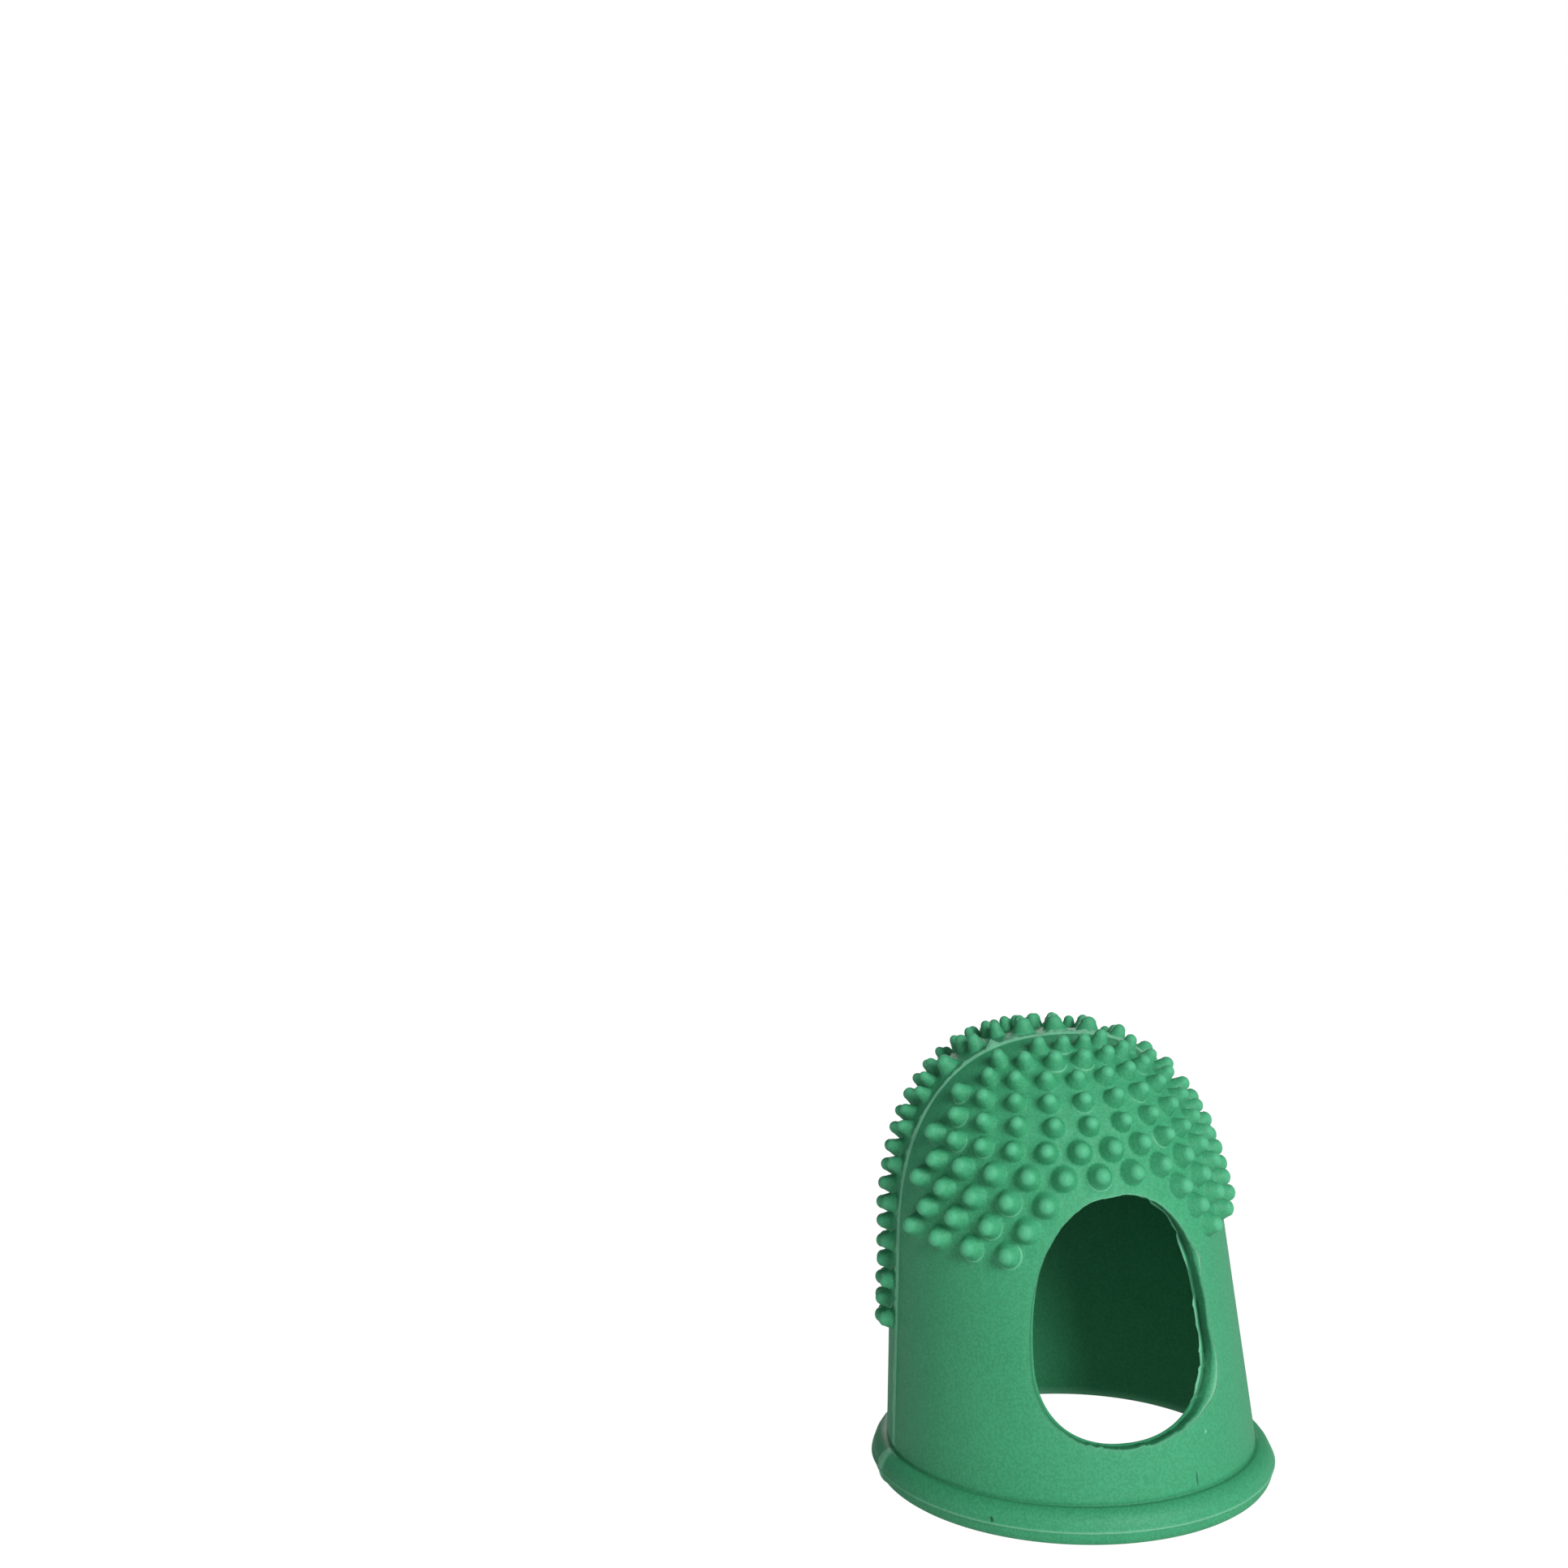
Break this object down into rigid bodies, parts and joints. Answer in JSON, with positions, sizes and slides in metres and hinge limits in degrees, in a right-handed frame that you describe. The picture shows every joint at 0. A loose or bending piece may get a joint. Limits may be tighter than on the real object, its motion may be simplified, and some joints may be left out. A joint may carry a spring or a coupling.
{
  "type": "rubber finger tip",
  "caption": "Thin moulded rubber cap for a fingertip, with a rolled rim, an egg-shaped window in one side and pimples over the tip and the pad side.",
  "frame": {"origin": "centre of the open end, in the plane that the rim rests on", "axes": "+Z from the open end to the closed tip, -Y out through the window, +Y to the pad side"},
  "size_m": [0.024, 0.024, 0.0269],
  "materials": {
    "green_rubber": "matt moulded rubber"
  },
  "bodies": {
    "root": {"finger_tip": "green_rubber"}
  },
  "joints": []
}
